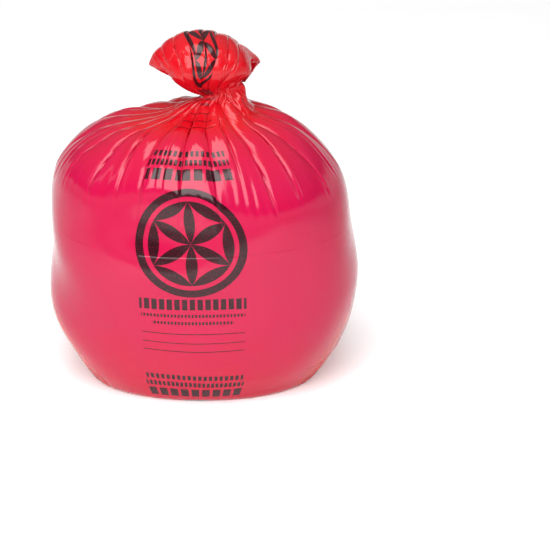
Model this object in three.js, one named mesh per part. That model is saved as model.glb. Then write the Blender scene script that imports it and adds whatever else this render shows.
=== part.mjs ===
// A filled bin liner standing on its bottom, its neck gathered and its mouth folded over.
// Millimetres, +Z up. The origin is under the middle of the bag, on the floor, and the printed
// front faces -Y.
//
// A liner is one piece: a tube of thin film, sealed across the bottom. Here it is one closed solid,
// lofted through rings of film: from the floor up the body to the neck, then up the tuft, over its
// crest and down its back to the mouth.
import * as THREE from 'three';
import { LoftGeometry } from 'three/addons/geometries/LoftGeometry.js';

const { lerp, smoothstep } = THREE.MathUtils;

// The width of the film tube when it lies flat.
const FLAT_WIDTH = 610;

// The filled body. Its depth follows from its width, because the film around it does not stretch.
const BODY_WIDTH = 446;
const BASE_WIDTH = 316;
const WAIST_HEIGHT = 184;
const SHOULDER_HEIGHT = 412;

// How square the body is, where 2 is an ellipse: below the waist, above it, and seen from the top.
const LOWER_SQUARENESS = 2.6;
const UPPER_SQUARENESS = 2.8;
const PLAN_SQUARENESS = 2.2;

// The shoulders lean aside. The lean starts and ends at shares of the rise from the waist.
const SHOULDER_ASIDE = -10;
const LEAN_START_SHARE = 0.1;
const LEAN_END_SHARE = 0.8;

// The gathered neck, higher on its right by twice its tilt, and the collar of film that sweeps
// up to it.
const NECK_WIDTH = 56;
const NECK_DEPTH = 22;
const NECK_ASIDE = 30;
const NECK_FORWARD = 6;
const NECK_TILT = 7;
const COLLAR_RISE = 32;
const COLLAR_REACH = 92;

// The tuft stands on the neck, turns back over its crest and hangs down behind to the mouth.
const TUFT_HEIGHT = 77;
const TUFT_ASIDE = 12;
const TURN_SHARE = 0.7;
const CREST_ASIDE = -3;
const CREST_BACK = 24;
const CREST_DROOP = 28;
const FOLD_BACK = 70;
const MOUTH_ASIDE = 18;

// The tuft's widths, at equal steps of film from the neck to the mouth.
const FAN_WIDTH = 108;
const TUFT_WIDTH = 147;
const CREST_WIDTH = 134;
const MOUTH_WIDTH = 86;

// The tuft's thickness through the film: at its bulge, at its crest and at the mouth. The bulge
// and the crest lie at shares of the film's way from the neck to the mouth.
const BULGE_DEPTH = 54;
const CREST_DEPTH = 30;
const MOUTH_DEPTH = 12;
const BULGE_SHARE = 0.35;
const CREST_SHARE = 0.6;

// Folds run down from the neck, where the film is gathered, and up the tuft. On the body they
// start at a share of the rise from the waist.
const SHOULDER_FOLD_DEPTH = 7;
const SHOULDER_FOLDS = 24;
const FOLD_START_SHARE = 0.45;
const TUFT_FOLD_DEPTH = 3;
const TUFT_FOLDS = 9;

// The folds are a sum of waves. Each has its share of the depth, its number more or fewer than
// the folds, and its phase in radians.
const FOLD_WAVES = [
  { share: 0.45, more: 0, phase: 0.7 },
  { share: 0.3, more: -7, phase: 2.1 },
  { share: 0.25, more: 7, phase: 4 },
];

// How closely the body's depth is worked out from its girth.
const DEPTH_TOLERANCE = 0.01;

// How finely the solid is faceted.
const RING_POINTS = 112;
const BODY_RINGS = 26;
const TUFT_RINGS = 28;

const FILM_COLOUR = 0xdf3a56;
const FILM_ROUGHNESS = 0.3;

// The point at an angle on a superellipse whose half-axes are 1.
function superellipse(angle, squareness) {
  const power = 2 / squareness;
  const across = Math.cos(angle);
  const up = Math.sin(angle);
  return {
    across: Math.sign(across) * Math.abs(across) ** power,
    up: Math.sign(up) * Math.abs(up) ** power,
  };
}

// The angle at which a superellipse of half-axes 1 is this far across.
function angleAcross(share, squareness) {
  return Math.acos(share ** (squareness / 2));
}

// The girth of an ellipse, by Ramanujan's formula.
function ellipseGirth(a, b) {
  return Math.PI * (3 * (a + b) - Math.sqrt((3 * a + b) * (a + 3 * b)));
}

// The half-depth at which a ring of this half-width takes up all of the film's girth.
function filledHalfDepth(halfWidth) {
  let low = 0;
  let high = FLAT_WIDTH;
  while (high - low > DEPTH_TOLERANCE) {
    const middle = (low + high) / 2;
    if (ellipseGirth(halfWidth, middle) > 2 * FLAT_WIDTH) high = middle;
    else low = middle;
  }
  return low;
}

// How far the film stands out at an angle round the ring, from -1 to 1.
function foldWave(angle, folds) {
  return FOLD_WAVES.reduce(
    (sum, wave) => sum + wave.share * Math.cos((folds + wave.more) * angle + wave.phase),
    0,
  );
}

// One ring of film about a centre, square to a spine that leans back from straight up.
// Tilt raises the right end, droop lowers both ends, and lift raises the film that stands out.
function ring(centre, halfWidth, halfDepth, shape) {
  const { squareness = 2, lean = 0, tilt = 0, droop = 0, lift = 0, folds, foldDepth } = shape;
  return Array.from({ length: RING_POINTS }, (_, i) => {
    const angle = (i / RING_POINTS) * 2 * Math.PI;
    const { across, up: through } = superellipse(angle, squareness);
    const wave = foldWave(angle, folds);
    const out = through * (halfDepth + foldDepth * wave);
    return new THREE.Vector3(
      centre.x + across * (halfWidth + foldDepth * wave),
      centre.y + out * Math.cos(lean),
      centre.z - out * Math.sin(lean) + tilt * across - droop * across ** 2 + lift * wave,
    );
  });
}

// The body, from the flat patch on the floor up to the neck.
function bodyRings() {
  const halfWidth = BODY_WIDTH / 2;
  const halfDepth = filledHalfDepth(halfWidth);
  const baseAngle = angleAcross(BASE_WIDTH / BODY_WIDTH, LOWER_SQUARENESS);
  const neckAngle = angleAcross(NECK_WIDTH / BODY_WIDTH, UPPER_SQUARENESS);
  const fall = WAIST_HEIGHT / superellipse(baseAngle, LOWER_SQUARENESS).up;
  const rise = SHOULDER_HEIGHT - WAIST_HEIGHT;

  return Array.from({ length: BODY_RINGS }, (_, i) => {
    const angle = lerp(-baseAngle, neckAngle, i / (BODY_RINGS - 1));
    const { across, up } = superellipse(angle, angle < 0 ? LOWER_SQUARENESS : UPPER_SQUARENESS);
    const level = up < 0 ? WAIST_HEIGHT + up * fall : WAIST_HEIGHT + up * rise;
    const fromNeck = (across * BODY_WIDTH - NECK_WIDTH) / (2 * COLLAR_REACH - NECK_WIDTH);
    const collar = Math.max(0, 1 - fromNeck);
    const folded = Math.max(0, (up - FOLD_START_SHARE) / (1 - FOLD_START_SHARE));
    const foldDepth = SHOULDER_FOLD_DEPTH * folded * (1 - collar);
    const centre = new THREE.Vector3(
      lerp(SHOULDER_ASIDE * smoothstep(up, LEAN_START_SHARE, LEAN_END_SHARE), NECK_ASIDE, collar),
      -NECK_FORWARD * folded,
      i === 0 ? 0 : level + COLLAR_RISE * collar ** 2,
    );
    const pinchedDepth = lerp(halfDepth * across, NECK_DEPTH / 2, collar ** 3);
    return ring(centre, halfWidth * across, pinchedDepth, {
      squareness: PLAN_SQUARENESS,
      tilt: NECK_TILT * folded ** 3,
      lift: foldDepth * folded,
      folds: SHOULDER_FOLDS,
      foldDepth,
    });
  });
}

// The line through the middle of the tuft: up from the neck, over the crest, down to the mouth.
function tuftSpine() {
  const neck = SHOULDER_HEIGHT + COLLAR_RISE;
  const crest = neck + TUFT_HEIGHT - CREST_DEPTH / 2;
  const turn = lerp(neck, crest, TURN_SHARE);
  const points = [
    new THREE.Vector3(NECK_ASIDE, -NECK_FORWARD, neck),
    new THREE.Vector3(TUFT_ASIDE, -NECK_FORWARD, (neck + turn) / 2),
    new THREE.Vector3(TUFT_ASIDE, -NECK_FORWARD, turn),
    new THREE.Vector3(CREST_ASIDE, CREST_BACK, crest),
    new THREE.Vector3(TUFT_ASIDE, 2 * CREST_BACK, turn),
    new THREE.Vector3(MOUTH_ASIDE, 2 * CREST_BACK, crest - FOLD_BACK),
  ];
  return new THREE.CatmullRomCurve3(points, false, 'centripetal');
}

// The tuft: a fan that opens from the neck, bulges, folds over its crest and thins to the mouth.
function tuftRings() {
  const spine = tuftSpine();
  const widths = new THREE.SplineCurve(
    [NECK_WIDTH, FAN_WIDTH, TUFT_WIDTH, CREST_WIDTH, MOUTH_WIDTH].map(
      (width, step) => new THREE.Vector2(step, width),
    ),
  );

  return Array.from({ length: TUFT_RINGS }, (_, i) => {
    const way = (i + 1) / TUFT_RINGS;
    const along = spine.getTangentAt(way);
    const opening = smoothstep(way, 0, BULGE_SHARE);
    const bulging = lerp(NECK_DEPTH, BULGE_DEPTH, opening);
    const thinning = lerp(CREST_DEPTH, MOUTH_DEPTH, smoothstep(way, CREST_SHARE, 1));
    const depth = lerp(bulging, thinning, smoothstep(way, BULGE_SHARE, CREST_SHARE));
    const arch = Math.sin(Math.PI * smoothstep(way, 0, 1));
    return ring(spine.getPointAt(way), widths.getPoint(way).y / 2, depth / 2, {
      lean: Math.atan2(along.y, along.z),
      tilt: lerp(NECK_TILT, 0, opening),
      droop: CREST_DROOP * arch,
      folds: TUFT_FOLDS,
      foldDepth: TUFT_FOLD_DEPTH * arch,
    });
  });
}

const film = new THREE.MeshStandardMaterial({
  color: FILM_COLOUR,
  roughness: FILM_ROUGHNESS,
  metalness: 0,
});

const liner = new THREE.Mesh(
  new LoftGeometry([...bodyRings(), ...tuftRings()], { capStart: true, capEnd: true }),
  film,
);
liner.name = 'liner';

const part = new THREE.Group();
part.add(liner);

export default part;
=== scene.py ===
"""Dresses the filled bin liner: one tube of thin blown film, gathered at its neck."""
import logging
import math
from dataclasses import dataclass, field
from enum import Enum
from functools import cached_property
from typing import Any

import bpy
import numpy as np
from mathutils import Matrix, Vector


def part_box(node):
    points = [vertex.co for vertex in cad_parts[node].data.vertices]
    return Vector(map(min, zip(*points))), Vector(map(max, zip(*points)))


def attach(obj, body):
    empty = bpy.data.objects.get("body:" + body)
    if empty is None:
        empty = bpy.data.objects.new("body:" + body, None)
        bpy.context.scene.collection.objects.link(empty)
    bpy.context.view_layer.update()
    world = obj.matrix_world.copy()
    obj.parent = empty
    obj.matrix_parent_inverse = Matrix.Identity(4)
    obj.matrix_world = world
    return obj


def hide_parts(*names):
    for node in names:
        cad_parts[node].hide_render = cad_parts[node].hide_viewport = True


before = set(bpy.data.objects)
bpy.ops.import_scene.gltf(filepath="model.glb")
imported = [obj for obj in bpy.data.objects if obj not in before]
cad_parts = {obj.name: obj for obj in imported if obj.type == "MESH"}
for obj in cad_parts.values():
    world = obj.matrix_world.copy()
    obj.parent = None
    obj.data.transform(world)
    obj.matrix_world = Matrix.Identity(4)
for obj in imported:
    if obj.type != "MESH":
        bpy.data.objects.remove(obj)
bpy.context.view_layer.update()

LOG = logging.getLogger("bin_liner")

# The least length and freedom that a sum divides by, which keeps it from dividing by zero.
LEAST_LENGTH = 1e-9
LEAST_FREEDOM = 1e-6

MM_PER_METRE = 1000.0

# A feed is what a node's input takes: a socket, or a node by its first output.
Array = np.ndarray
Socket = bpy.types.NodeSocket
Feed = Socket | bpy.types.Node
Tree = bpy.types.NodeTree
Sums = list[tuple[Any, ...]]


def smoothstep(value: Any, start: float, end: float) -> Any:
    """Rises smoothly from 0 at start to 1 at end.

    Args:
        value: a number or an array of numbers.
        start: where the rise starts.
        end: where it ends, which may be the lower of the two.

    Returns:
        The eased share, as value is.
    """
    share = np.clip((value - start) / (end - start), 0.0, 1.0)
    return share * share * (3.0 - 2.0 * share)


def superellipse(angle: Any, squareness: Any) -> tuple[Any, Any]:
    """Finds the point at an angle on a superellipse whose half-axes are 1.

    Args:
        angle: radians, counterclockwise from the first axis.
        squareness: 2 for an ellipse, more for a squarer one.

    Returns:
        How far the point lies along the first axis, and along the second.
    """
    across, up = np.cos(angle), np.sin(angle)
    power = 2.0 / squareness
    return np.sign(across) * np.abs(across) ** power, np.sign(up) * np.abs(up) ** power


def smooth_curve(knots: Array, values: Array, at: float) -> Array:
    """Reads a smooth curve through values at knots.

    Args:
        knots: rising parameters, one for each value.
        values: one row for each knot.
        at: the parameter to read.

    Returns:
        The curve's value there.
    """
    slopes = np.gradient(values, knots, axis=0)
    before = int(np.clip(np.searchsorted(knots, at) - 1, 0, len(knots) - 2))
    span = knots[before + 1] - knots[before]
    t = (at - knots[before]) / span
    return (
        (2 * t**3 - 3 * t**2 + 1) * values[before]
        + (t**3 - 2 * t**2 + t) * span * slopes[before]
        + (3 * t**2 - 2 * t**3) * values[before + 1]
        + (t**3 - t**2) * span * slopes[before + 1]
    )


def way_along(points: Array) -> Array:
    """Measures how far each point of a line lies from its start, along the line."""
    steps = np.linalg.norm(np.diff(points, axis=0), axis=1)
    return np.concatenate([[0.0], np.cumsum(steps)])


def surface_normals(grid: Array) -> Array:
    """Works out each point's outward normal from its neighbours on a closed tube's grid.

    Args:
        grid: rows by columns by x, y, z.

    Returns:
        The normals, in the grid's order.
    """
    around = np.roll(grid, -1, axis=1) - np.roll(grid, 1, axis=1)
    normal = np.cross(around, np.gradient(grid, axis=0))
    return normal / np.maximum(np.linalg.norm(normal, axis=2, keepdims=True), LEAST_LENGTH)


@dataclass(frozen=True)
class Section:
    """One ring's place and size: its middle, half-axes, squareness, lean, tilt and droop.

    Gather is how far the ring's film is drawn to its left, from 0 to 1 at the neck.
    """

    middle: tuple[float, float, float]
    half_width: float
    half_depth: float
    squareness: float = 2.0
    lean: float = 0.0
    tilt: float = 0.0
    droop: float = 0.0
    gather: float = 0.0

    def points(self, angles: Array) -> Array:
        """Places the ring's points at these angles round it.

        Args:
            angles: radians, counterclockwise from the right as seen from above.

        Returns:
            One row of x, y, z for each angle.
        """
        across, through = superellipse(angles, self.squareness)
        x, y, z = self.middle
        out = through * self.half_depth
        rise = self.tilt * across - self.droop * across**2
        return np.stack([
            x + across * self.half_width,
            y + out * math.cos(self.lean),
            z - out * math.sin(self.lean) + rise,
        ], axis=1)


@dataclass(frozen=True)
class BagForm:
    """The filled bag as a row of sections, in metres, with the same sizes as the solid's.

    Each fold wave has its share of the depth, its number of folds and its phase in radians.
    """

    flat_width: float = 0.610
    body_width: float = 0.446
    base_width: float = 0.316
    waist: float = 0.184
    shoulder: float = 0.412
    lower_squareness: float = 2.6
    upper_squareness: float = 2.8
    plan_squareness: float = 2.2
    shoulder_aside: float = -0.010
    lean_start: float = 0.1
    lean_end: float = 0.8
    neck_width: float = 0.056
    neck_depth: float = 0.022
    neck_aside: float = 0.030
    neck_forward: float = 0.006
    neck_tilt: float = 0.007
    collar_rise: float = 0.032
    collar_reach: float = 0.092
    tuft_height: float = 0.077
    tuft_aside: float = 0.012
    turn_share: float = 0.7
    crest_aside: float = -0.003
    crest_back: float = 0.024
    crest_droop: float = 0.028
    fold_back: float = 0.070
    mouth_aside: float = 0.018
    fan_widths: tuple[float, ...] = (0.108, 0.147, 0.134, 0.086)
    bulge_depth: float = 0.054
    crest_depth: float = 0.030
    mouth_depth: float = 0.012
    bulge_share: float = 0.35
    crest_share: float = 0.6
    fold_start: float = 0.45
    fold_waves: tuple[tuple[float, int, float], ...] = ((0.45, 24, 0.7), (0.3, 17, 2.1), (0.25, 31, 4.0))
    spine_steps: int = 200
    spine_nudge: float = 0.01

    @cached_property
    def half_depth(self) -> float:
        """Works out the body's half-depth from the solid's box."""
        low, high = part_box("liner")
        return (high.y - low.y) / 2

    def folds(self, angles: Array) -> Array:
        """Gives how far the solid's shoulder folds stand out at these angles, from -1 to 1."""
        return sum(share * np.cos(number * angles + phase) for share, number, phase in self.fold_waves)

    def body(self, share: float) -> Section:
        """Gives the body's section at a height.

        Args:
            share: the share of the way from the floor to the neck.

        Returns:
            The section.
        """
        half_width = self.body_width / 2
        base_angle = math.acos((self.base_width / self.body_width) ** (self.lower_squareness / 2))
        neck_angle = math.acos((self.neck_width / self.body_width) ** (self.upper_squareness / 2))
        fall = self.waist / superellipse(base_angle, self.lower_squareness)[1]
        angle = -base_angle + (base_angle + neck_angle) * share
        squareness = self.lower_squareness if angle < 0 else self.upper_squareness
        across, up = (float(part) for part in superellipse(angle, squareness))
        level = self.waist + up * (fall if up < 0 else self.shoulder - self.waist)
        reach = self.collar_reach - self.neck_width / 2
        collar = max(0.0, 1 - (across * half_width - self.neck_width / 2) / reach)
        folded = max(0.0, (up - self.fold_start) / (1 - self.fold_start))
        aside = self.shoulder_aside * float(smoothstep(up, self.lean_start, self.lean_end))
        full_depth = self.half_depth * across
        return Section(
            middle=(
                aside + (self.neck_aside - aside) * collar,
                -self.neck_forward * folded,
                max(0.0, level + self.collar_rise * collar**2),
            ),
            half_width=half_width * across,
            half_depth=full_depth + (self.neck_depth / 2 - full_depth) * collar**3,
            squareness=self.plan_squareness,
            tilt=self.neck_tilt * folded**3,
            gather=collar**2,
        )

    def tuft(self, share: float) -> Section:
        """Gives the tuft's section at a place on its spine.

        Args:
            share: the share of the way from the neck to the mouth.

        Returns:
            The section.
        """
        middle, along = self.spine(share)
        opening = float(smoothstep(share, 0.0, self.bulge_share))
        bulging = self.neck_depth + (self.bulge_depth - self.neck_depth) * opening
        thinning = self.crest_depth + (self.mouth_depth - self.crest_depth) * float(
            smoothstep(share, self.crest_share, 1.0)
        )
        turned = float(smoothstep(share, self.bulge_share, self.crest_share))
        widths = np.array([self.neck_width, *self.fan_widths])
        width = float(smooth_curve(np.linspace(0.0, 1.0, len(widths)), widths[:, None], share)[0])
        return Section(
            middle=tuple(middle),
            half_width=width / 2,
            half_depth=(bulging + (thinning - bulging) * turned) / 2,
            lean=math.atan2(along[1], along[2]),
            tilt=self.neck_tilt * (1 - opening),
            droop=self.crest_droop * math.sin(math.pi * float(smoothstep(share, 0.0, 1.0))),
            gather=1 - opening,
        )

    def spine(self, share: float) -> tuple[Array, Array]:
        """Reads the line through the middle of the tuft.

        Args:
            share: the share of the way from the neck to the mouth.

        Returns:
            The point there, and the line's direction.
        """
        line = self.spine_line
        way = way_along(line)
        nudges = (-self.spine_nudge, 0.0, self.spine_nudge)
        near = [np.clip(share + nudge, 0.0, 1.0) * way[-1] for nudge in nudges]
        before, here, after = (
            np.array([np.interp(at, way, line[:, axis]) for axis in range(3)]) for at in near
        )
        return here, after - before

    @cached_property
    def spine_line(self) -> Array:
        """Traces the line through the middle of the tuft.

        Returns:
            Points from the neck, over the crest, to the mouth.
        """
        neck = self.shoulder + self.collar_rise
        crest = neck + self.tuft_height - self.crest_depth / 2
        turn = neck + (crest - neck) * self.turn_share
        points = np.array([
            (self.neck_aside, -self.neck_forward, neck),
            (self.tuft_aside, -self.neck_forward, (neck + turn) / 2),
            (self.tuft_aside, -self.neck_forward, turn),
            (self.crest_aside, self.crest_back, crest),
            (self.tuft_aside, 2 * self.crest_back, turn),
            (self.mouth_aside, 2 * self.crest_back, crest - self.fold_back),
        ])
        gaps = np.linalg.norm(np.diff(points, axis=0), axis=1)
        knots = np.concatenate([[0.0], np.cumsum(np.sqrt(gaps))])
        places = np.linspace(0, knots[-1], self.spine_steps)
        return np.array([smooth_curve(knots, points, at) for at in places])


@dataclass
class FilmSolver:
    """Lets a tube of film that cannot stretch find its folds, with the contents pressing out.

    The film is a grid of points, closed round its columns. Its edges keep their own lengths, which
    are longer than the smooth grid's where the film is gathered, so it has to fold there. In each
    round the contents press it out, in metres, it is pulled back by a share of its way, and it
    carries on with a share of its speed. No point ends farther off than the reach, in metres.
    """

    smooth: Array
    spare: Array
    free: Array
    stiffness: Array
    rounds: int
    press: float = 4e-5
    pull: float = 0.004
    carry: float = 0.9
    reach: float = 0.016
    settlings: int = 2

    def __post_init__(self) -> None:
        """Measures the film's own lengths along, round and across its squares."""
        grid = self.smooth
        wide = (np.roll(grid, -1, axis=1) - grid) * (1 + self.spare)[:, :, None]
        along = grid[1:] - grid[:-1]
        middle = (wide[1:] + wide[:-1]) / 2
        rise = (along + np.roll(along, -1, axis=1)) / 2
        self.round_length = np.linalg.norm(wide, axis=2)
        self.along_length = np.linalg.norm(along, axis=2)
        self.rising_length = np.linalg.norm(middle + rise, axis=2)
        self.falling_length = np.linalg.norm(middle - rise, axis=2)

    @staticmethod
    def settle(first: Array, second: Array, length: Array, one: Array, two: Array) -> None:
        """Brings each pair of points to the length of film between them, in place.

        Args:
            first: the points at one end.
            second: the points at the other.
            length: the film's length between each pair.
            one: the first points' freedom to move.
            two: the second points' freedom.
        """
        gap = second - first
        far = np.sqrt(np.einsum("...k,...k->...", gap, gap)) + LEAST_LENGTH
        share = (far - length) / (far * (one + two + LEAST_FREEDOM))
        first += gap * (share * one)[..., None]
        second -= gap * (share * two)[..., None]

    def even_out(self, film: Array) -> None:
        """Settles every edge once: round the film, along it, and across its squares.

        Args:
            film: the film's points, which are moved in place.
        """
        free = self.free
        ring = self.round_length
        self.settle(film[:, 0::2], film[:, 1::2], ring[:, 0::2], free, free)
        turned = np.roll(film, -1, axis=1)
        self.settle(turned[:, 0::2], turned[:, 1::2], ring[:, 1::2], free, free)
        film[:] = np.roll(turned, 1, axis=1)
        last = len(film) - 1
        for odd in (0, 1):
            low, high = slice(odd, last, 2), slice(odd + 1, last + 1, 2)
            for first, second, length, aside in (
                (low, high, self.along_length, 0),
                (low, high, self.rising_length, 1),
                (high, low, self.falling_length, 1),
            ):
                turned = np.roll(film[second], -aside, axis=1)
                self.settle(film[first], turned, length[low], free[first], free[second])
                film[second] = np.roll(turned, aside, axis=1)

    @staticmethod
    def bend(film: Array) -> Array:
        """Measures the film's bends.

        Args:
            film: the film's points, or the bends themselves for how they change.

        Returns:
            How far each point stands off the middle of its neighbours.
        """
        bent = (np.roll(film, 1, axis=1) + np.roll(film, -1, axis=1)) / 2 - film
        bent[1:-1] += (film[2:] + film[:-2]) / 2 - film[1:-1]
        return bent

    def relax(self, hint: Array) -> Array:
        """Presses the film out and folds it until it comes to rest.

        Args:
            hint: how far each point starts from the smooth film.

        Returns:
            How far each point stands from the smooth film at rest.
        """
        film = self.smooth + hint
        before = film.copy()
        free = self.free[:, :, None]
        for _ in range(self.rounds):
            speed = (film - before) * self.carry
            before = film.copy()
            push = surface_normals(film) * self.press
            film += free * (speed + push + (self.smooth - film) * self.pull)
            film -= free * self.bend(self.bend(film)) * self.stiffness[:, None, None]
            for _ in range(self.settlings):
                self.even_out(film)
            film[:, :, 2] = np.maximum(film[:, :, 2], 0.0)
        moved = film - self.smooth
        far = np.linalg.norm(moved, axis=2, keepdims=True)
        return moved * np.minimum(1.0, self.reach / np.maximum(far, LEAST_LENGTH))


@dataclass(frozen=True)
class FoldPass:
    """One pass of folding: its grid's coarseness, its spare film, and the hint it starts from.

    Spare film and stiffness come in pairs, for the body and the tuft. The hint's folds come in
    pairs of the fewest and the most round the film, and its depth is in metres.
    """

    column_step: int
    row_step: int
    spare: tuple[float, float]
    rounds: int
    stiffness: tuple[float, float]
    body_folds: tuple[int, int]
    tuft_folds: tuple[int, int]
    depth: float


@dataclass
class LinerFilm:
    """The film as one closed tube of quads, from the bottom seal to the pinched mouth.

    Spare film is a share of a ring's girth. The first share of the way round that film is drawn
    from lies, at the neck, at the first share that it is drawn to, and so on.
    """

    form: BagForm = field(default_factory=BagForm)
    columns: int = 448
    base_rows: int = 8
    body_rows: int = 128
    tuft_rows: int = 72
    measured_steps: int = 400
    measured_angles: int = 1441
    seed: int = 11

    drawn_from: tuple[float, ...] = (0, 0.2, 0.3, 0.5, 0.7, 1)
    drawn_to: tuple[float, ...] = (0, 0.19, 0.26, 0.36, 0.52, 1)

    full_spare: float = 0.75
    unlike_share: float = 0.6
    unlike_folds: tuple[int, int] = (5, 23)
    wave_least: float = 0.4
    waist_rows: int = 6
    end_reach: float = 0.75
    held_rows: int = 5
    neck_rows: int = 7
    neck_freedom: float = 0.15

    lump_depth: float = 0.0022
    lump_length: float = 0.13
    lump_waves: int = 14
    lump_stretch: tuple[float, float] = (0.7, 1.6)

    solid_share: float = 0.7
    own_share: float = 0.3
    shoulder_share: float = 0.8
    round_share: float = 0.4
    crease_share: float = 0.4
    drift_share: float = 0.2
    drift_turns: float = 1.5
    swell_columns: int = 22
    swell_rows: int = 5

    layered_spare: float = 2.2
    tucked_share: float = 0.7
    tucked_height: float = 0.14
    tucked_fade: float = 0.04
    # Painted shade low down: the share by which the red deepens towards the bottom.
    low_shade_share: float = 0.25

    passes: tuple[FoldPass, ...] = (
        FoldPass(4, 2, (0.25, 0.15), 400, (0.02, 0.10), (4, 12), (3, 7), 0.0070),
        FoldPass(2, 1, (0.36, 0.24), 200, (0.02, 0.06), (14, 34), (8, 18), 0.0024),
        FoldPass(1, 1, (0.48, 0.32), 80, (0.012, 0.03), (40, 84), (30, 60), 0.0009),
    )

    def sections(self) -> list[Section]:
        """Lists the rings' sections at equal steps of film up the front.

        Returns:
            The sections, from the bottom seal to the mouth.
        """
        base = self.form.body(0.0)
        rows = [
            Section(base.middle, base.half_width, base.half_depth * step / self.base_rows, base.squareness)
            for step in range(self.base_rows)
        ]
        front = np.array([math.pi * 3 / 2])
        for maker, count in ((self.form.body, self.body_rows), (self.form.tuft, self.tuft_rows)):
            shares = np.linspace(0.0, 1.0, self.measured_steps)
            way = way_along(np.array([maker(float(share)).points(front)[0] for share in shares]))
            even = np.interp(np.linspace(0, way[-1], count + 1)[:-1], way, shares)
            rows += [maker(float(share)) for share in even]
        last = self.form.tuft(1.0)
        rows.append(Section(last.middle, last.half_width, 0.0, 2.0, last.lean, 0.0, last.droop))
        return rows

    def angles(self, section: Section) -> Array:
        """Spaces a ring's columns along its film, from the middle of the back, by the left.

        At the neck the front of the film is drawn together on the left, and the right and the
        back spread over the rest.

        Args:
            section: the ring.

        Returns:
            Each column's angle round the ring, in radians.
        """
        dense = np.linspace(math.pi / 2, math.pi * 5 / 2, self.measured_angles)
        way = way_along(section.points(dense))
        share = np.arange(self.columns) / self.columns
        drawn = np.interp(share, self.drawn_from, self.drawn_to)
        share = share + (drawn - share) * section.gather
        return np.interp(share * way[-1], way, dense)

    def wave(self, rng: np.random.Generator, fewest: int, most: int) -> Array:
        """Draws a wave round the film out of all the whole numbers of folds in a band.

        Args:
            rng: the seeded source of the phases.
            fewest: the fewest folds round the film.
            most: the most.

        Returns:
            One height for each column, from about -1 to 1.
        """
        turn = np.arange(self.columns) / self.columns * 2 * math.pi
        wave = sum(
            rng.uniform(self.wave_least, 1) * np.cos(count * turn + rng.uniform(0, 2 * math.pi))
            for count in range(fewest, most + 1)
        )
        return wave / np.abs(wave).max()

    @staticmethod
    def spare(grid: Array) -> Array:
        """Works out each row's spare film, as a share of its girth: all rows are cut from one tube."""
        girth = np.linalg.norm(np.roll(grid, -1, axis=1) - grid, axis=2).sum(axis=1)
        return girth.max() / girth - 1

    def lumps(self, grid: Array, rng: np.random.Generator) -> Array:
        """Gives the low swells that the contents press into the film, in metres.

        Args:
            grid: the smooth film.
            rng: the seeded source of the swells' directions.

        Returns:
            Rows by columns.
        """
        height = np.zeros(grid.shape[:2])
        for _ in range(self.lump_waves):
            facing = rng.normal(size=3)
            length = self.lump_length * rng.uniform(*self.lump_stretch)
            facing *= 2 * math.pi / length / np.linalg.norm(facing)
            height += np.sin(grid @ facing + rng.uniform(0, 2 * math.pi))
        return self.lump_depth * height / height.std() * self.held(len(grid))[:, None]

    def gathered(self, grid: Array, rng: np.random.Generator) -> Array:
        """Gives how much of the most spare film each point has, from 0 to 1.

        Each ring has the whole girth of the film, so a ring smaller than the waist has some to
        spare. Under the waist it lies at the two ends, where the flat bottom seal puts it.

        Args:
            grid: the smooth film.
            rng: the seeded source of the folds' unlike lengths.

        Returns:
            Rows by columns.
        """
        spare = self.spare(grid)
        waist = int(np.argmin(spare))
        uneven = 1 + self.unlike_share * self.wave(rng, *self.unlike_folds)
        share = np.clip(spare[:, None] / self.full_spare * uneven[None, :], 0, 1)
        under = smoothstep(np.arange(len(grid)), waist, waist - self.waist_rows)[:, None]
        return share * (1 - under * (1 - self.ends()))

    def ends(self) -> Array:
        """Gives one row that is 1 at the two ends of the bottom seal and 0 away from them."""
        turn = np.arange(self.columns) / self.columns * 2 * math.pi
        return smoothstep(np.abs(np.sin(turn)), self.end_reach, 1.0)[None, :]

    def held(self, rows: int) -> Array:
        """Gives each row's freedom to move. The floor, the neck and the mouth hold the film.

        Args:
            rows: the number of rows.

        Returns:
            One number for each row, from 0 where it is held to 1.
        """
        number = np.arange(rows)
        off_neck = smoothstep(np.abs(number - self.base_rows - self.body_rows), 0, self.neck_rows)
        free = smoothstep(number, self.base_rows, self.base_rows + self.held_rows)
        free = free * (self.neck_freedom + (1 - self.neck_freedom) * off_neck)
        return free * smoothstep(number, rows - 1, rows - self.held_rows)

    def folded(self, grid: Array, gathered: Array, rng: np.random.Generator) -> Array:
        """Folds the film in passes, from the large folds to the fine ones.

        Args:
            grid: the smooth film, as rows by columns by x, y, z.
            gathered: each point's share of the most spare film.
            rng: the seeded source of the hints.

        Returns:
            The folded film's points.
        """
        rows = len(grid)
        free = self.held(rows)[:, None]
        moved = np.zeros_like(grid)
        normal = surface_normals(grid)
        neck = self.base_rows + self.body_rows
        on_tuft = (np.arange(rows) > neck)[:, None]
        for step in self.passes:
            on_body = self.hint(rows, step.body_folds, rng)
            if step is self.passes[0]:
                angles = self.angles(self.form.body(self.shoulder_share))
                on_body = self.own_share * on_body + self.solid_share * self.form.folds(angles)
            height = np.where(on_tuft, self.hint(rows, step.tuft_folds, rng), on_body)
            hint = moved + normal * (step.depth * height * gathered * free)[:, :, None]
            at = np.unique(np.append(np.arange(0, rows, step.row_step), rows - 1))
            pick = np.ix_(at, np.arange(0, self.columns, step.column_step))
            stiffness = np.where(on_tuft[at, 0], step.stiffness[1], step.stiffness[0])
            spare = gathered[pick] * np.where(on_tuft[at], step.spare[1], step.spare[0])
            solver = FilmSolver(grid[pick], spare, free[at], stiffness, step.rounds)
            moved = self.spread(solver.relax(hint[pick]), at, step.column_step)
            moved = moved - normal * self.swelling(moved, normal)[:, :, None]
            far = np.linalg.norm(moved, axis=2).max() * MM_PER_METRE
            LOG.info("pass of %d columns: film stands off %.1f mm at most", len(pick[1][0]), far)
        return grid + moved

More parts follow.
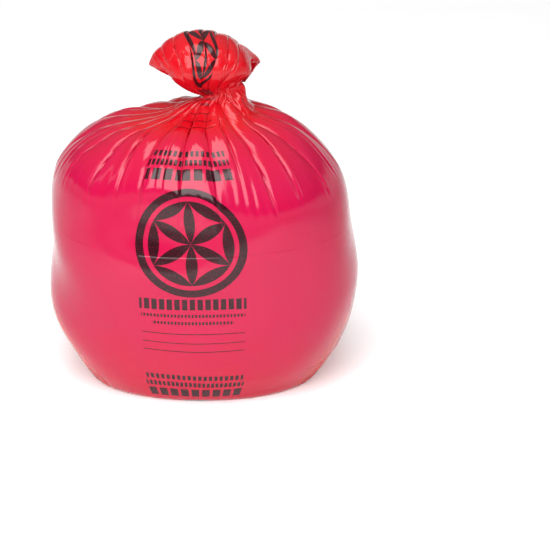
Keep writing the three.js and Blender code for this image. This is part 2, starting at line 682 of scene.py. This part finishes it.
    def hint(self, rows: int, folds: tuple[int, int], rng: np.random.Generator) -> Array:
        """Draws rounded and creased waves that drift a little up the film.

        Args:
            rows: the number of rows.
            folds: the fewest and the most folds round the film.
            rng: the seeded source of the phases.

        Returns:
            Rows by columns, from about -1 to 1.
        """
        wave = self.wave(rng, *folds)
        crease = 1 - 2 * np.abs(self.wave(rng, *folds))
        drift = self.wave(rng, *folds)
        turn = np.sin(np.arange(rows) / rows * self.drift_turns * 2 * math.pi)[:, None]
        return self.round_share * wave + self.crease_share * crease + self.drift_share * turn * drift

    def swelling(self, moved: Array, normal: Array) -> Array:
        """Finds how far the film has swelled off the smooth form, folds aside.

        Args:
            moved: the moves of every row and column.
            normal: the smooth film's normals.

        Returns:
            The swelling of every row and column, in metres.
        """
        swelled = np.sum(moved * normal, axis=2)
        for axis, reach in ((1, self.swell_columns), (0, self.swell_rows)):
            swelled = sum(np.roll(swelled, by, axis=axis) for by in range(-reach, reach + 1))
            swelled = swelled / (2 * reach + 1)
        return swelled * self.held(len(moved))[:, None]

    def spread(self, moved: Array, at: Array, column_step: int) -> Array:
        """Carries a coarse grid's moves over to the full grid.

        Args:
            moved: the coarse grid's moves.
            at: the rows that it has.
            column_step: how many columns lie between its columns.

        Returns:
            The moves of every row and column.
        """
        rows = np.arange(at[-1] + 1)
        after = np.clip(np.searchsorted(at, rows), 1, len(at) - 1)
        share = ((rows - at[after - 1]) / (at[after] - at[after - 1]))[:, None, None]
        tall = moved[after - 1] * (1 - share) + moved[after] * share
        if column_step == 1:
            return tall
        column = np.arange(self.columns) / column_step
        left = column.astype(int)
        share = (column - left)[None, :, None]
        count = tall.shape[1]
        here, right = tall[:, left % count], tall[:, (left + 1) % count]
        before, beyond = tall[:, (left - 1) % count], tall[:, (left + 2) % count]
        line = here * (1 - share) + right * share
        # The line between two columns is rounded by the slopes beyond them.
        curve = ((here - before) * (1 - share) + (right - beyond) * share) / 4
        return line + curve * share * (1 - share) * 2

    def layers_and_low_shade(self, grid: Array) -> Array:
        """Gives how many layers of film lie behind each point, as a share of the most.

        They are many where the film is gathered and where the ends of the seal are tucked under.
        Low down it adds painted shade, which makes the film a deeper red towards the bottom.

        Args:
            grid: the smooth film.

        Returns:
            Rows by columns.
        """
        height = grid[:, :, 2]
        drawn = np.clip(self.spare(grid) / self.layered_spare, 0, 1)[:, None]
        tucked = smoothstep(self.tucked_height * self.ends() - height, 0.0, self.tucked_fade)
        low = smoothstep(height, self.form.waist, 0.0)
        # The last term is painted shade: it makes the film a deeper red towards the bottom.
        return np.maximum(drawn, self.tucked_share * tucked) + self.low_shade_share * low

    def weld(self, points: Array) -> Array:
        """Closes the bottom seal and the mouth, where the front of the film meets the back.

        Args:
            points: the folded film, whose first and last rows are brought together in place.

        Returns:
            For each row and column, the number of the point that it ends on.
        """
        number = np.arange(points.shape[0] * self.columns).reshape(-1, self.columns)
        column = np.arange(self.columns)
        behind = (self.columns // 2 - column) % self.columns
        for row in (0, len(points) - 1):
            points[row] = (points[row] + points[row, behind]) / 2
            number[row] = number[row, np.minimum(column, behind)]
        return number

    def film_coordinates(self, lengths: Array) -> Array:
        """Lays the corners of the quads out on the flat film.

        Args:
            lengths: how far each row lies from the bottom seal, up the front, in metres.

        Returns:
            For each corner, its way round the tube from the middle of the front, and up it.
        """
        edge = (np.arange(self.columns + 1) / self.columns - 0.5) * 2 * self.form.flat_width
        u = np.stack([edge[:-1], edge[1:], edge[1:], edge[:-1]], axis=1)[None]
        v = np.stack([lengths[:-1], lengths[:-1], lengths[1:], lengths[1:]], axis=1)[:, None]
        return np.stack([u.repeat(len(lengths) - 1, 0), v.repeat(self.columns, 1)], axis=3)

    def build(self, material: bpy.types.Material) -> bpy.types.Object:
        """Makes the film's mesh with its folds and its film coordinates.

        Args:
            material: the film's finish.

        Returns:
            The finished piece.
        """
        rng = np.random.default_rng(self.seed)
        grid = np.array([section.points(self.angles(section)) for section in self.sections()])
        lengths = way_along(grid[:, self.columns // 2])
        shares = {"gathered": self.gathered(grid, rng), "layers_and_low_shade": self.layers_and_low_shade(grid)}
        lumpy = grid + surface_normals(grid) * self.lumps(grid, rng)[:, :, None]
        points = self.folded(lumpy, shares["gathered"], rng)
        number = self.weld(points)
        right = np.roll(number, -1, axis=1)
        corners = np.stack([number[:-1], right[:-1], right[1:], number[1:]], axis=2).reshape(-1, 4)
        used, faces = np.unique(corners, return_inverse=True)
        mesh = bpy.data.meshes.new("liner_film")
        mesh.from_pydata(points.reshape(-1, 3)[used].tolist(), [], faces.reshape(-1, 4).tolist())
        flat = mesh.uv_layers.new(name="film")
        flat.data.foreach_set("uv", self.film_coordinates(lengths).reshape(-1))
        for name, share in shares.items():
            attribute = mesh.attributes.new(name, "FLOAT", "POINT")
            attribute.data.foreach_set("value", share.reshape(-1)[used].astype(np.float32))
        mesh.polygons.foreach_set("use_smooth", [True] * len(mesh.polygons))
        mesh.materials.append(material)
        piece = bpy.data.objects.new("liner_film", mesh)
        bpy.context.collection.objects.link(piece)
        return piece


def add_node(
    tree: Tree,
    kind: str,
    settings: dict[str, Any] | None = None,
    inputs: dict[Any, Any] | None = None,
) -> bpy.types.Node:
    """Adds a node to a tree.

    Args:
        tree: the shader or geometry tree.
        kind: the node's type name.
        settings: the node's own properties.
        inputs: for each input's name or number, a value, or the socket or node that feeds it.

    Returns:
        The new node.
    """
    node = tree.nodes.new(kind)
    for name, value in (settings or {}).items():
        setattr(node, name, value)
    for name, value in (inputs or {}).items():
        if isinstance(value, bpy.types.Node):
            value = value.outputs[0]
        if isinstance(value, Socket):
            tree.links.new(value, node.inputs[name])
        else:
            node.inputs[name].default_value = value
    return node


def linear(colour: str) -> tuple[float, float, float, float]:
    """Turns an sRGB colour linear.

    Args:
        colour: a hash sign and six hex digits.

    Returns:
        Linear red, green and blue, and an alpha of 1.
    """
    parts = [int(colour[at:at + 2], 16) / 255 for at in (1, 3, 5)]
    red, green, blue = (
        part / 12.92 if part <= 0.04045 else ((part + 0.055) / 1.055) ** 2.4 for part in parts
    )
    return red, green, blue, 1.0


class Step(Enum):
    """The operations of the Math node that the print uses.

    A list of sums has rows of a result's name, the step that gives it, and the names or numbers
    that it works on. A name given again takes the newer result.
    """

    MULTIPLY_ADD = "MULTIPLY_ADD"
    SUBTRACT = "SUBTRACT"
    MULTIPLY = "MULTIPLY"
    ABSOLUTE = "ABSOLUTE"
    SMALLER = "MINIMUM"
    LARGER = "MAXIMUM"
    WRAP = "WRAP"
    ANGLE = "ARCTAN2"
    SINE = "SINE"
    COSINE = "COSINE"
    ROOT = "SQRT"


def off_band(result: str, value: str, middle: float, width: float) -> Sums:
    """Lists the sums for how far a value lies outside a band, which is below 0 inside it."""
    return [
        (result, Step.SUBTRACT, value, middle),
        (result, Step.ABSOLUTE, result),
        (result, Step.SUBTRACT, result, width / 2),
    ]


@dataclass(frozen=True)
class Bar:
    """One printed row: its height over the figure's middle, and its sizes, in millimetres.

    A pitch above 0 breaks the row into blocks of that spacing, with a share of each inked.
    """

    level: float
    height: float
    width: float
    pitch: float = 0.0
    inked: float = 1.0

    def sums(self) -> Sums:
        """Lists the sums that give how far a point lies outside the row's ink.

        Returns:
            The sums, which end with the row's.
        """
        sums = off_band("row", "y", self.level, self.height) + off_band("off", "x", 0.0, self.width)
        sums.append(("row", Step.LARGER, "row", "off"))
        if self.pitch:
            sums.append(("off", Step.WRAP, "x", self.pitch / 2, -self.pitch / 2))
            sums += off_band("off", "off", 0.0, self.pitch * self.inked)
            sums.append(("row", Step.LARGER, "row", "off"))
        return sums


@dataclass(frozen=True)
class FilmPrint:
    """The black print on the front: a compass-drawn rosette in a ring, between rows of blocks.

    Lengths are millimetres of flat film. The same print comes again each turn of the print roller.
    """

    middle: float = 393.0
    aside: float = -14.0
    roller_turn: float = 354.0
    ring_radius: float = 82.0
    ring_width: float = 12.0
    petal_radius: float = 63.0
    petals: int = 6
    edge: float = 0.8
    bars: tuple[Bar, ...] = (
        Bar(134.0, 9.0, 158.0, 8.6, 0.62),
        Bar(120.0, 9.0, 164.0, 7.4, 0.66),
        Bar(102.0, 17.0, 168.0, 18.7, 0.72),
        Bar(-94.0, 17.0, 154.0, 11.0, 0.70),
        Bar(-112.0, 4.5, 150.0, 5.0, 0.6),
        Bar(-123.0, 4.5, 118.0, 5.0, 0.6),
        Bar(-140.0, 1.2, 150.0),
        Bar(-155.0, 1.2, 150.0),
        Bar(-169.0, 1.2, 150.0),
    )

    def sums(self) -> Sums:
        """Lists the sums that give how far a point of the film lies outside the nearest ink.

        A petal lies where two circles of its radius overlap. One petal's sector is worked out, and
        the angle is wrapped for the others.

        Returns:
            The sums, which end with the ink's.
        """
        half_sector = math.pi / self.petals
        sums = [
            ("x", Step.MULTIPLY_ADD, "u", MM_PER_METRE, -self.aside),
            ("y", Step.MULTIPLY_ADD, "v", MM_PER_METRE, -self.middle),
            ("y", Step.WRAP, "y", self.roller_turn / 2, -self.roller_turn / 2),
            ("radius", Step.MULTIPLY, "x", "x"),
            ("radius", Step.MULTIPLY_ADD, "y", "y", "radius"),
            ("radius", Step.ROOT, "radius"),
            *off_band("ink", "radius", self.ring_radius - self.ring_width / 2, self.ring_width),
            ("turn", Step.ANGLE, "x", "y"),
            ("turn", Step.WRAP, "turn", half_sector, -half_sector),
            ("along", Step.COSINE, "turn"),
            ("along", Step.MULTIPLY, "along", "radius"),
            ("beside", Step.SINE, "turn"),
            ("beside", Step.MULTIPLY, "beside", "radius"),
            ("beside", Step.ABSOLUTE, "beside"),
        ]
        for along, beside in ((1 / 2, -math.sqrt(3) / 2), (3 / 2, math.sqrt(3) / 2)):
            sums += [
                ("over", Step.SUBTRACT, "along", self.petal_radius * along),
                ("out", Step.SUBTRACT, "beside", self.petal_radius * beside),
                ("petal", Step.MULTIPLY, "over", "over"),
                ("petal", Step.MULTIPLY_ADD, "out", "out", "petal"),
                ("petal", Step.ROOT, "petal"),
                ("petal", Step.LARGER, "petal", "radius"),
                ("petal", Step.SUBTRACT, "petal", self.petal_radius),
                ("ink", Step.SMALLER, "ink", "petal"),
            ]
        for bar in self.bars:
            sums += [*bar.sums(), ("ink", Step.SMALLER, "ink", "row")]
        return sums

    def ink(self, tree: Tree, film: Feed) -> Feed:
        """Adds the nodes that tell where the ink lies.

        Args:
            tree: the material's nodes.
            film: the film coordinates, in metres.

        Returns:
            A feed that is 1 on ink and 0 off it.
        """
        flat = add_node(tree, "ShaderNodeSeparateXYZ", inputs={0: film})
        found = {"u": flat.outputs[0], "v": flat.outputs[1]}
        for result, step, *given in self.sums():
            values = {place: found.get(value, value) for place, value in enumerate(given)}
            found[result] = add_node(tree, "ShaderNodeMath", {"operation": step.value}, values)
        return add_node(tree, "ShaderNodeMapRange", {"interpolation_type": "SMOOTHSTEP"}, {
            0: found["ink"], 1: -self.edge / 2, 2: self.edge / 2, 3: 1.0, 4: 0.0,
        })


@dataclass(frozen=True)
class BlownFilm:
    """Blown LLDPE film, dyed red, glossy on its outside.

    It is 33 micrometres thick. Single, it looks pink-red and takes sharp, clear reflections.
    Gathered, many layers lie behind each other, and it looks a deeper, warmer red. Faint bands
    run up it from the die that it was blown through, and creases run across it from its pack.
    Names with mm are lengths in millimetres, and depths are in metres.
    """

    single: str = "#B00A3D"
    # The deeper red for layered film, also painted low down on the bag as shade.
    layers_and_low_shade: str = "#B60716"
    print_black: str = "#17050B"
    ink_cover: float = 0.97
    ior: float = 1.52
    sheen: float = 0.34
    roughness: tuple[float, float] = (0.088, 0.154)
    shine_clouds: tuple[float, float] = (0.3, 0.7)
    cloud_mm: float = 60.0
    band_mm: float = 26.0
    band_squash: float = 0.03
    uneven_share: float = 0.3
    layers_and_shade_shown: tuple[float, float] = (0.34, 1.05)
    crinkle_mm: float = 9.0
    crinkle_squash: float = 0.3
    crinkle_depth: float = 0.0006
    crinkle_least: float = 0.05
    crease_mm: float = 373.0
    crease_spacing_mm: float = 210.0
    crease_reach_mm: float = 1.2
    crease_clouds: tuple[float, float] = (0.5, 0.56)
    crease_depth: float = 0.00025
    wear_mm: float = 1.6
    wear_clouds: tuple[float, float] = (0.28, 0.42)
    worn_cover: float = 0.5
    print_layout: FilmPrint = field(default_factory=FilmPrint)

    def material(self) -> bpy.types.Material:
        """Makes the film's material.

        Returns:
            The material, which reads the film coordinates and the two shares that the film has.
        """
        material = bpy.data.materials.new("blown_lldpe_film")
        material.use_nodes = True
        tree = material.node_tree
        shader = tree.nodes["Principled BSDF"]
        film = add_node(tree, "ShaderNodeUVMap", {"uv_map": "film"})
        place = add_node(tree, "ShaderNodeTexCoord").outputs["Object"]
        clouds = add_node(tree, "ShaderNodeTexNoise", inputs={
            "Vector": place, "Scale": MM_PER_METRE / self.cloud_mm, "Detail": 3.0,
        })
        shine = add_node(tree, "ShaderNodeMapRange", inputs={
            0: clouds, 1: self.shine_clouds[0], 2: self.shine_clouds[1],
            3: self.roughness[0], 4: self.roughness[1],
        })
        tree.links.new(self.colour(tree, film, clouds), shader.inputs["Base Color"])
        tree.links.new(self.relief(tree, film, clouds), shader.inputs["Normal"])
        tree.links.new(shine.outputs[0], shader.inputs["Roughness"])
        shader.inputs["IOR"].default_value = self.ior
        shader.inputs["Specular IOR Level"].default_value = self.sheen
        return material

    def colour(self, tree: Tree, film: Feed, clouds: Feed) -> Socket:
        """Adds the film's red, deeper where layers lie behind each other and, as painted shade, towards the
        bottom, and the print on it.

        Args:
            tree: the material's nodes.
            film: the film coordinates, in metres.
            clouds: a slow noise that makes the red uneven.

        Returns:
            A colour.
        """
        # The layers' share, which also carries painted shade low down, deepens the red.
        layers_and_low_shade = add_node(tree, "ShaderNodeAttribute", {"attribute_name": "layers_and_low_shade"}).outputs["Fac"]
        drawn = add_node(tree, "ShaderNodeMapping", inputs={0: film, "Scale": (1.0, self.band_squash, 1.0)})
        bands = add_node(tree, "ShaderNodeTexNoise", inputs={
            "Vector": drawn, "Scale": MM_PER_METRE / self.band_mm, "Detail": 2.0,
        })
        uneven = add_node(tree, "ShaderNodeMath", {"operation": "ADD"}, {0: clouds, 1: bands})
        layers_and_shade = add_node(tree, "ShaderNodeMath", {"operation": "MULTIPLY_ADD"}, {
            0: uneven, 1: self.uneven_share, 2: layers_and_low_shade,
        })
        layers_and_shade = add_node(tree, "ShaderNodeMapRange", inputs={
            0: layers_and_shade, 1: self.layers_and_shade_shown[0], 2: self.layers_and_shade_shown[1],
        })
        red = add_node(tree, "ShaderNodeMix", {"data_type": "RGBA"}, {
            0: layers_and_shade, 6: linear(self.single), 7: linear(self.layers_and_low_shade),
        }).outputs[2]
        wear = add_node(tree, "ShaderNodeTexNoise", inputs={
            "Vector": film, "Scale": MM_PER_METRE / self.wear_mm, "Detail": 2.0,
        })
        wear = add_node(tree, "ShaderNodeMapRange", inputs={
            0: wear, 1: self.wear_clouds[0], 2: self.wear_clouds[1], 3: self.worn_cover, 4: self.ink_cover,
        })
        cover = add_node(tree, "ShaderNodeMath", {"operation": "MULTIPLY"}, {
            0: self.print_layout.ink(tree, film), 1: wear,
        })
        return add_node(tree, "ShaderNodeMix", {"data_type": "RGBA"}, {
            0: cover, 6: red, 7: linear(self.print_black),
        }).outputs[2]

    def relief(self, tree: Tree, film: Feed, clouds: Feed) -> Socket:
        """Adds the crinkles where the film is gathered, and the creases from its pack.

        Args:
            tree: the material's nodes.
            film: the film coordinates, in metres.
            clouds: a slow noise that breaks the creases up.

        Returns:
            A normal.
        """
        gathered = add_node(tree, "ShaderNodeAttribute", {"attribute_name": "gathered"}).outputs["Fac"]
        drawn = add_node(tree, "ShaderNodeMapping", inputs={
            0: film, "Scale": (1.0, self.crinkle_squash, 1.0),
        })
        crinkle = add_node(tree, "ShaderNodeTexNoise", {"noise_type": "RIDGED_MULTIFRACTAL"}, {
            "Vector": drawn, "Scale": MM_PER_METRE / self.crinkle_mm, "Detail": 3.0,
        })
        depth = add_node(tree, "ShaderNodeMapRange", inputs={0: gathered, 3: self.crinkle_least})
        crinkled = add_node(tree, "ShaderNodeBump", inputs={
            "Strength": depth, "Distance": self.crinkle_depth, "Height": crinkle,
        })
        return add_node(tree, "ShaderNodeBump", inputs={
            "Distance": self.crease_depth,
            "Height": self.packing_crease(tree, film, clouds),
            "Normal": crinkled,
        }).outputs[0]

    def packing_crease(self, tree: Tree, film: Feed, clouds: Feed) -> Feed:
        """Adds the creases across the film where it was folded in its pack.

        Args:
            tree: the material's nodes.
            film: the film coordinates, in metres.
            clouds: a slow noise that breaks the creases up.

        Returns:
            A feed that is 1 on a crease and 0 off it.
        """
        flat = add_node(tree, "ShaderNodeSeparateXYZ", inputs={0: film}).outputs[1]
        level = add_node(tree, "ShaderNodeMath", {"operation": "MULTIPLY_ADD"}, {
            0: flat, 1: MM_PER_METRE, 2: -self.crease_mm,
        })
        level = add_node(tree, "ShaderNodeMath", {"operation": "WRAP"}, {
            0: level, 1: self.crease_spacing_mm / 2, 2: -self.crease_spacing_mm / 2,
        })
        off = add_node(tree, "ShaderNodeMath", {"operation": "ABSOLUTE"}, {0: level})
        line = add_node(tree, "ShaderNodeMapRange", inputs={
            0: off, 1: 0.0, 2: self.crease_reach_mm, 3: 1.0, 4: 0.0,
        })
        whole = add_node(tree, "ShaderNodeMapRange", inputs={
            0: clouds, 1: self.crease_clouds[0], 2: self.crease_clouds[1],
        })
        return add_node(tree, "ShaderNodeMath", {"operation": "MULTIPLY"}, {0: line, 1: whole})


@dataclass(frozen=True)
class FineGathers:
    """The fine gathers that a Geometry Nodes tree raises where the film has much to spare."""

    depth: float = 0.0006
    spacing: float = 0.014
    length: float = 0.10
    seed: float = 4.0

    def tree(self) -> Tree:
        """Builds the tree that moves the film along its normal by a stretched noise.

        Returns:
            The tree, with its sizes, seed and material as inputs.
        """
        tree = bpy.data.node_groups.new("fine_gathers", "GeometryNodeTree")
        face = tree.interface
        face.new_socket("Geometry", in_out="INPUT", socket_type="NodeSocketGeometry")
        for name in ("Depth", "Spacing", "Length", "Seed"):
            face.new_socket(name, in_out="INPUT", socket_type="NodeSocketFloat")
        face.new_socket("Material", in_out="INPUT", socket_type="NodeSocketMaterial")
        face.new_socket("Geometry", in_out="OUTPUT", socket_type="NodeSocketGeometry")
        given = add_node(tree, "NodeGroupInput")
        spare = add_node(tree, "GeometryNodeInputNamedAttribute", {"data_type": "FLOAT"}, {0: "gathered"})
        place = add_node(tree, "GeometryNodeInputPosition")
        size = add_node(tree, "ShaderNodeCombineXYZ", inputs={
            0: given.outputs["Spacing"], 1: given.outputs["Spacing"], 2: given.outputs["Length"],
        })
        drawn = add_node(tree, "ShaderNodeVectorMath", {"operation": "DIVIDE"}, {0: place, 1: size})
        noise = add_node(tree, "ShaderNodeTexNoise", {"noise_dimensions": "4D"}, {
            "Vector": drawn, "W": given.outputs["Seed"], "Scale": 1.0, "Detail": 2.0,
        })
        even = add_node(tree, "ShaderNodeMapRange", inputs={0: noise, 3: -1.0, 4: 1.0})
        tall = add_node(tree, "ShaderNodeMath", {"operation": "MULTIPLY"}, {
            0: even, 1: given.outputs["Depth"],
        })
        raised = add_node(tree, "ShaderNodeMath", {"operation": "MULTIPLY"}, {
            0: tall, 1: spare.outputs["Attribute"],
        })
        outwards = add_node(tree, "GeometryNodeInputNormal")
        move = add_node(tree, "ShaderNodeVectorMath", {"operation": "SCALE"}, {
            0: outwards, "Scale": raised,
        })
        moved = add_node(tree, "GeometryNodeSetPosition", inputs={
            "Geometry": given.outputs["Geometry"], "Offset": move,
        })
        real = add_node(tree, "GeometryNodeRealizeInstances", inputs={"Geometry": moved})
        dressed = add_node(tree, "GeometryNodeSetMaterial", inputs={
            "Geometry": real, "Material": given.outputs["Material"],
        })
        add_node(tree, "NodeGroupOutput", inputs={0: dressed})
        return tree

    def apply(self, piece: bpy.types.Object) -> None:
        """Raises the gathers and leaves the piece a plain mesh.

        Args:
            piece: the film, which has its material.
        """
        tree = self.tree()
        modifier = piece.modifiers.new("fine_gathers", "NODES")
        modifier.node_group = tree
        values = {
            "Depth": self.depth, "Spacing": self.spacing, "Length": self.length, "Seed": self.seed,
            "Material": piece.data.materials[0],
        }
        for item in tree.interface.items_tree:
            if item.name in values:
                modifier[item.identifier] = values[item.name]
        bpy.context.view_layer.update()
        evaluated = piece.evaluated_get(bpy.context.evaluated_depsgraph_get())
        plain = bpy.data.meshes.new_from_object(evaluated)
        piece.modifiers.remove(modifier)
        old, piece.data = piece.data, plain
        bpy.data.meshes.remove(old)
        plain.name = "liner_film"


@dataclass(frozen=True)
class Softbox:
    """One rectangular studio lamp with its diffuser, aimed at the bag."""

    name: str
    place: tuple[float, float, float]
    size: tuple[float, float]
    watts: float
    aim: tuple[float, float, float] = (0.0, 0.0, 0.28)

    def add(self) -> None:
        """Adds the lamp to the scene."""
        data = bpy.data.lights.new(self.name, "AREA")
        data.shape = "RECTANGLE"
        data.size, data.size_y = self.size
        data.energy = self.watts
        lamp = bpy.data.objects.new(self.name, data)
        lamp.location = self.place
        aim = Vector(self.aim) - Vector(self.place)
        lamp.rotation_euler = aim.to_track_quat("-Z", "Y").to_euler()
        bpy.context.collection.objects.link(lamp)


@dataclass(frozen=True)
class PhotoStudio:
    """The pale sweep, the soft lamps and the camera of the photograph.

    The picture's size and the foot, where the origin shows, are in pixels, and the scale is metres
    to a pixel. Each glow of the studio's walls has the two heights, as parts of straight up,
    between which it changes, and its strength at them.
    """

    picture: float = 550.0
    scale: float = 0.001475
    foot: tuple[float, float] = (204.0, 368.0)
    rise_degrees: float = 23.6
    distance: float = 12.0
    sensor_mm: float = 36.0
    floor_reach: float = 20.0
    floor_white: str = "#FAFAFA"
    floor_roughness: float = 0.9
    floor_glow: float = 0.21
    sky: tuple[float, float, float, float] = (0.1, 0.85, 0.12, 0.6)
    backdrop: tuple[float, float, float, float] = (0.07, 0.16, 0.9, 0.0)
    lamps: tuple[Softbox, ...] = (
        Softbox("front_softbox", (-0.35, -1.75, 1.45), (2.0, 1.4), 48.0),
        Softbox("top_softbox", (-0.15, -0.55, 2.3), (1.5, 1.0), 24.0),
        Softbox("left_strip", (-2.4, -0.6, 1.9), (0.4, 1.5), 2.5),
        Softbox("right_strip", (2.4, -0.5, 1.7), (0.5, 1.5), 4.0),
    )

    def build(self) -> None:
        """Lays the floor, hangs the lamps and stands the camera."""
        self.lay_floor()
        for lamp in self.lamps:
            lamp.add()
        self.stand_camera()
        world = bpy.data.worlds.new("studio")
        world.use_nodes = True
        tree = world.node_tree
        facing = add_node(tree, "ShaderNodeTexCoord").outputs["Generated"]
        level = add_node(tree, "ShaderNodeSeparateXYZ", inputs={0: facing}).outputs[2]
        glows = {
            place: add_node(tree, "ShaderNodeMapRange", {"interpolation_type": "SMOOTHSTEP"}, {
                0: level, 1: low, 2: high, 3: below, 4: above,
            })
            for place, (low, high, below, above) in enumerate((self.sky, self.backdrop))
        }
        light = add_node(tree, "ShaderNodeMath", {"operation": "MAXIMUM"}, glows)
        tree.links.new(light.outputs[0], tree.nodes["Background"].inputs["Strength"])
        tree.nodes["Background"].inputs["Color"].default_value = (1.0, 1.0, 1.0, 1.0)
        bpy.context.scene.world = world
        bpy.context.scene.view_settings.view_transform = "Standard"

    def lay_floor(self) -> None:
        """Lays a floor of matt background paper, which spreads light and shows no reflections."""
        reach = self.floor_reach
        mesh = bpy.data.meshes.new("paper_floor")
        corners = [(-reach, -reach, 0), (reach, -reach, 0), (reach, reach, 0), (-reach, reach, 0)]
        mesh.from_pydata(corners, [], [(0, 1, 2, 3)])
        material = bpy.data.materials.new("matt_background_paper")
        material.use_nodes = True
        paper = material.node_tree.nodes["Principled BSDF"]
        paper.inputs["Base Color"].default_value = linear(self.floor_white)
        paper.inputs["Roughness"].default_value = self.floor_roughness
        paper.inputs["Specular IOR Level"].default_value = 0.0
        paper.inputs["Emission Color"].default_value = (1.0, 1.0, 1.0, 1.0)
        paper.inputs["Emission Strength"].default_value = self.floor_glow
        mesh.materials.append(material)
        floor = bpy.data.objects.new("paper_floor", mesh)
        bpy.context.collection.objects.link(floor)

    def stand_camera(self) -> None:
        """Stands the camera where the photograph was taken from."""
        rise = math.radians(self.rise_degrees)
        half = self.picture / 2
        upwards = Vector((0.0, math.sin(rise), math.cos(rise)))
        back = Vector((0.0, -math.cos(rise), math.sin(rise)))
        middle = Vector(((half - self.foot[0]) * self.scale, 0.0, 0.0))
        middle += upwards * ((self.foot[1] - half) * self.scale)
        data = bpy.data.cameras.new("photo_camera")
        data.sensor_width = self.sensor_mm
        data.lens = data.sensor_width * self.distance / (self.picture * self.scale)
        camera = bpy.data.objects.new("photo_camera", data)
        camera.location = middle + back * self.distance
        camera.rotation_euler = (math.pi / 2 - rise, 0.0, 0.0)
        bpy.context.collection.objects.link(camera)
        bpy.context.scene.camera = camera


def main() -> None:
    """Builds the film and its studio, and reports the piece."""
    logging.basicConfig(level=logging.INFO, format="%(asctime)s %(message)s", force=True)
    film = LinerFilm().build(BlownFilm().material())
    FineGathers().apply(film)
    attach(film, "root")
    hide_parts("liner")
    LOG.info("%s: %d points, %d faces", film.name, len(film.data.vertices), len(film.data.polygons))
    PhotoStudio().build()


if __name__ == "__main__":
    main()
